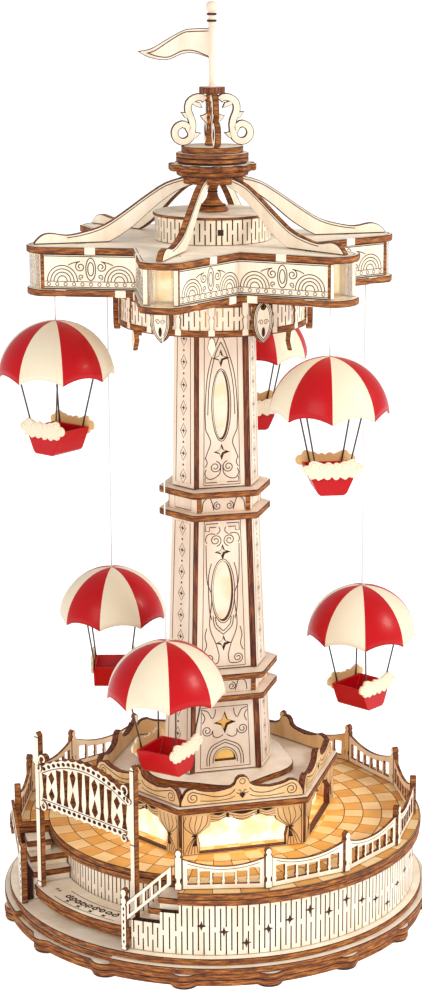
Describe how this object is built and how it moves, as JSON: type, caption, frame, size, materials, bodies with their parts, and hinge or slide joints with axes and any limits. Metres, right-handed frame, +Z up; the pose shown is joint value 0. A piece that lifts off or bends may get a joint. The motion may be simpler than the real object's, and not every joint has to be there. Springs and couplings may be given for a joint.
{
  "type": "model parachute drop tower",
  "caption": "Laser-cut plywood model of a parachute drop tower: canopies with baskets lift on threads from the arms of a star-shaped head.",
  "frame": {"origin": "middle of the base on the surface it stands on", "axes": "+Z up, -Y through one wide face of the tower, +X to the right of it"},
  "size_m": [0.208, 0.208, 0.4277],
  "materials": {
    "birch_plywood": "laser-cut birch plywood, bare faces and burnt brown edges",
    "red_plastic": "moulded satin plastic",
    "clear_sheet": "thin clear acrylic sheet",
    "pale_thread": "thin pale thread"
  },
  "bodies": {
    "tower": {"foot_ring": "birch_plywood", "base_ring": "birch_plywood", "base_plate": "birch_plywood", "base_wall": "birch_plywood", "deck": "birch_plywood", "inner_wall": "birch_plywood", "landing": "birch_plywood", "left_flight": "birch_plywood", "right_flight": "birch_plywood", "front_fence": "birch_plywood", "right_fence": "birch_plywood", "back_fence": "birch_plywood", "left_fence": "birch_plywood", "left_stair_rail": "birch_plywood", "right_stair_rail": "birch_plywood", "gate": "birch_plywood", "pavilion_walls": "birch_plywood", "pavilion_cornice": "birch_plywood", "pavilion_crests": "birch_plywood", "roof_plate": "birch_plywood", "lower_storey": "birch_plywood", "middle_storey": "birch_plywood", "upper_storey": "birch_plywood", "collar_1": "birch_plywood", "collar_2": "birch_plywood", "frieze": "birch_plywood", "star_lower_plate": "birch_plywood", "star_upper_plate": "birch_plywood", "star_walls": "birch_plywood", "window_liner": "clear_sheet", "roof_drum": "birch_plywood", "baluster": "birch_plywood", "roof_ribs": "birch_plywood", "cap": "birch_plywood", "cap_scrolls": "birch_plywood", "flagpole": "birch_plywood"},
    "parachute_left": {"canopy_left": "red_plastic", "gondola_left": "red_plastic", "string_left": "pale_thread"},
    "parachute_front": {"canopy_front": "red_plastic", "gondola_front": "red_plastic", "string_front": "pale_thread"},
    "parachute_front_right": {"canopy_front_right": "red_plastic", "gondola_front_right": "red_plastic", "string_front_right": "pale_thread"},
    "parachute_right": {"canopy_right": "red_plastic", "gondola_right": "red_plastic", "string_right": "pale_thread"},
    "parachute_back": {"canopy_back": "red_plastic", "gondola_back": "red_plastic", "string_back": "pale_thread"},
    "parachute_back_left": {"canopy_back_left": "red_plastic", "gondola_back_left": "red_plastic", "string_back_left": "pale_thread"}
  },
  "joints": [
    {"name": "lift_left", "type": "slide", "parent": "tower", "child": "parachute_left", "axis": [0, 0, 1], "range_m": [-0.135, 0], "deforming": ["string_left"]},
    {"name": "lift_front", "type": "slide", "parent": "tower", "child": "parachute_front", "axis": [0, 0, 1], "range_m": [0, 0.135], "deforming": ["string_front"]},
    {"name": "lift_front_right", "type": "slide", "parent": "tower", "child": "parachute_front_right", "axis": [0, 0, 1], "range_m": [-0.135, 0], "deforming": ["string_front_right"]},
    {"name": "lift_right", "type": "slide", "parent": "tower", "child": "parachute_right", "axis": [0, 0, 1], "range_m": [0, 0.135], "deforming": ["string_right"]},
    {"name": "lift_back", "type": "slide", "parent": "tower", "child": "parachute_back", "axis": [0, 0, 1], "range_m": [-0.135, 0], "deforming": ["string_back"]},
    {"name": "lift_back_left", "type": "slide", "parent": "tower", "child": "parachute_back_left", "axis": [0, 0, 1], "range_m": [0, 0.135], "deforming": ["string_back_left"]}
  ],
  "couplings": [
    {"joint": "lift_front", "follows": "lift_left", "ratio": -1},
    {"joint": "lift_front_right", "follows": "lift_left", "ratio": 1},
    {"joint": "lift_right", "follows": "lift_left", "ratio": -1},
    {"joint": "lift_back", "follows": "lift_left", "ratio": 1},
    {"joint": "lift_back_left", "follows": "lift_left", "ratio": -1}
  ]
}
